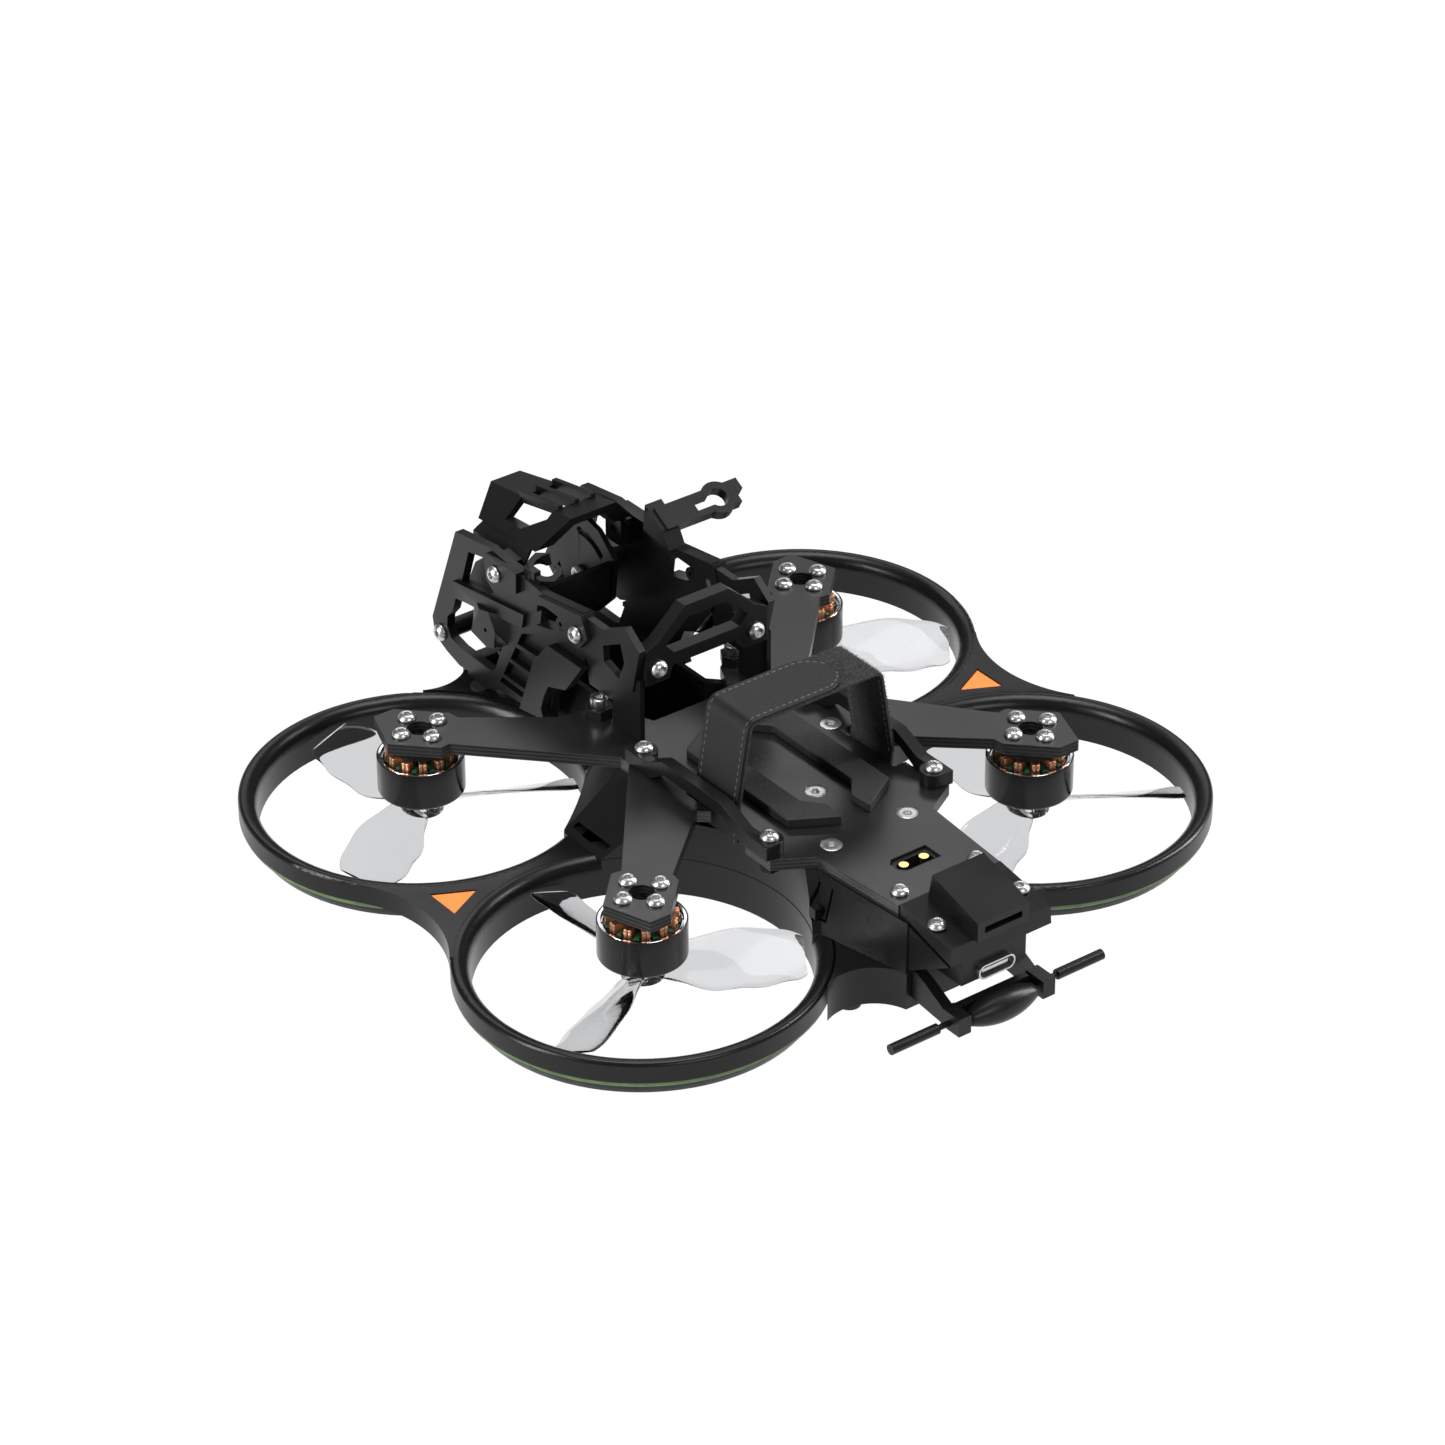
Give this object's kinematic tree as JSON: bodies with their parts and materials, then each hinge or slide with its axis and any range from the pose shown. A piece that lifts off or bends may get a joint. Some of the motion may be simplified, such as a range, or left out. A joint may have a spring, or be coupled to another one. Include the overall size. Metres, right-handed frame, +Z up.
{
  "type": "fpv racing drone",
  "caption": "Small racing drone with ducted propellers below a carbon plate, an open camera cage at the nose and a battery strap on the deck.",
  "frame": {"origin": "middle of the bounding box's floor, where the rubber feet stand", "axes": "+Y towards the camera cage at the nose, +Z up, +X to the drone's right"},
  "size_m": [0.172, 0.1702, 0.0566],
  "materials": {
    "gloss_black": "glossy black moulded plastic",
    "carbon": "satin black carbon sheet",
    "matte_black": "fine matte black",
    "steel": "polished stainless",
    "bell_black": "gloss black anodised",
    "core_steel": "dark laminated steel",
    "copper": "enamelled copper",
    "magnet": "nickel plated",
    "prop_clear": "clear grey polycarbonate",
    "orange": "satin orange",
    "led_green": "olive green strip",
    "rubber": "matte black rubber",
    "webbing": "black leather and hook-and-loop webbing",
    "gold": "gold plated",
    "board": "solder mask",
    "can": "sleeved can",
    "red_wire": "silicone insulation"
  },
  "bodies": {
    "airframe": {"duct_guard_left": "gloss_black", "duct_guard_right": "gloss_black", "led_strips": "led_green", "web_inserts": "orange", "body_tub": "gloss_black", "main_plate": "carbon", "battery_rails": "rubber", "strap_bar_left": "matte_black", "strap_bar_right": "matte_black", "battery_strap": "webbing", "battery_connector": "matte_black", "connector_pins": "gold", "rear_cover": "matte_black", "rear_board_case": "matte_black", "usb_port": "steel", "antenna_mount": "matte_black", "tee_antenna": "matte_black", "rubber_feet": "rubber", "motor_screws": "steel", "deck_screws": "steel", "rear_cover_screws": "steel", "strap_bar_screws": "steel", "front_standoffs": "matte_black", "cage_screws": "steel", "flight_controller": "board", "soft_mount_grommets": "rubber", "power_capacitor": "can", "radio_receiver": "board", "battery_leads": "red_wire", "cage_side_left": "matte_black", "cage_side_right": "matte_black", "louver_cover_left": "matte_black", "louver_cover_right": "matte_black", "camera_hood": "matte_black", "roll_bar": "matte_black", "antenna_clip": "matte_black", "cradle_screws": "steel", "cage_tubes": "matte_black", "cage_dampers": "rubber", "stator_cores": "core_steel", "motor_windings": "copper", "motor_bearings": "steel", "motor_bases": "bell_black"},
    "rotor_front_left": {"motor_bell_front_left": "bell_black", "motor_magnets_front_left": "magnet", "rotor_shaft_front_left": "steel", "propeller_front_left": "prop_clear"},
    "rotor_rear_left": {"motor_bell_rear_left": "bell_black", "motor_magnets_rear_left": "magnet", "rotor_shaft_rear_left": "steel", "propeller_rear_left": "prop_clear"},
    "rotor_rear_right": {"motor_bell_rear_right": "bell_black", "motor_magnets_rear_right": "magnet", "rotor_shaft_rear_right": "steel", "propeller_rear_right": "prop_clear"},
    "rotor_front_right": {"motor_bell_front_right": "bell_black", "motor_magnets_front_right": "magnet", "rotor_shaft_front_right": "steel", "propeller_front_right": "prop_clear"},
    "camera_tilt": {"camera_cradle": "matte_black"}
  },
  "joints": [
    {"name": "front_left_spin", "type": "hinge", "parent": "airframe", "child": "rotor_front_left", "pos_m": [-0.0487, 0.0435, 0.016], "axis": [0, 0, 1], "continuous": true},
    {"name": "rear_left_spin", "type": "hinge", "parent": "airframe", "child": "rotor_rear_left", "pos_m": [-0.0487, -0.0317, 0.016], "axis": [0, 0, 1], "continuous": true},
    {"name": "rear_right_spin", "type": "hinge", "parent": "airframe", "child": "rotor_rear_right", "pos_m": [0.0487, -0.0317, 0.016], "axis": [0, 0, 1], "continuous": true},
    {"name": "front_right_spin", "type": "hinge", "parent": "airframe", "child": "rotor_front_right", "pos_m": [0.0487, 0.0435, 0.016], "axis": [0, 0, 1], "continuous": true},
    {"name": "camera_tilt", "type": "hinge", "parent": "airframe", "child": "camera_tilt", "pos_m": [0, 0.0679, 0.0302], "axis": [1, 0, 0], "range_deg": [-15, 35]}
  ]
}
